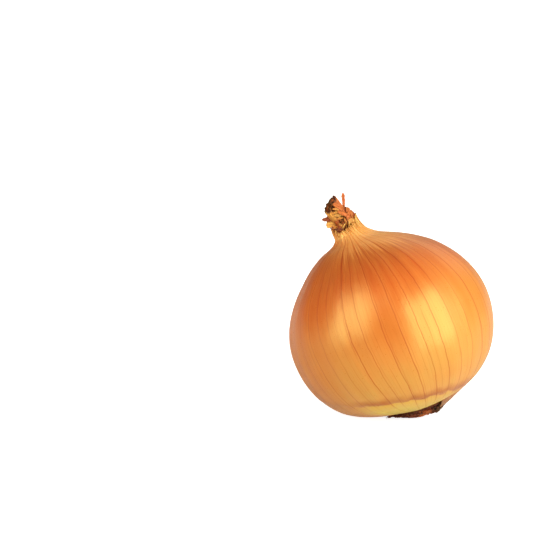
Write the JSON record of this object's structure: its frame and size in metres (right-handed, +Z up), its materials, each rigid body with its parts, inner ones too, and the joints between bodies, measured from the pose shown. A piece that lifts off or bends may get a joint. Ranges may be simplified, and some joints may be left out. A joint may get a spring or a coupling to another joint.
{
  "type": "onion",
  "caption": "Whole yellow onion lying on its flank, with a round body, a narrow neck with dry torn leaf ends, and a tuft of cut roots",
  "frame": {"origin": "on the surface that the onion lies on, at the lowest place of its flank, inside the small flat spot", "axes": "+Z up; -Z is the resting flat; the neck leans to -X by 20 degrees and back to +Y by 17 degrees; metres"},
  "size_m": [0.0777, 0.0775, 0.0818],
  "materials": {
    "onion_skin": "thin dry papery skin with a satin sheen, golden orange with fine orange-brown veins from neck to root",
    "dry_leaf": "matte dry leaf, tan and fibrous, dark brown at the cut ends",
    "dry_root": "matte dry root, dark brown and stringy"
  },
  "bodies": {
    "root": {"bulb": "onion_skin", "neck_leaf_ends": "dry_leaf", "root_tuft": "dry_root"}
  },
  "joints": []
}
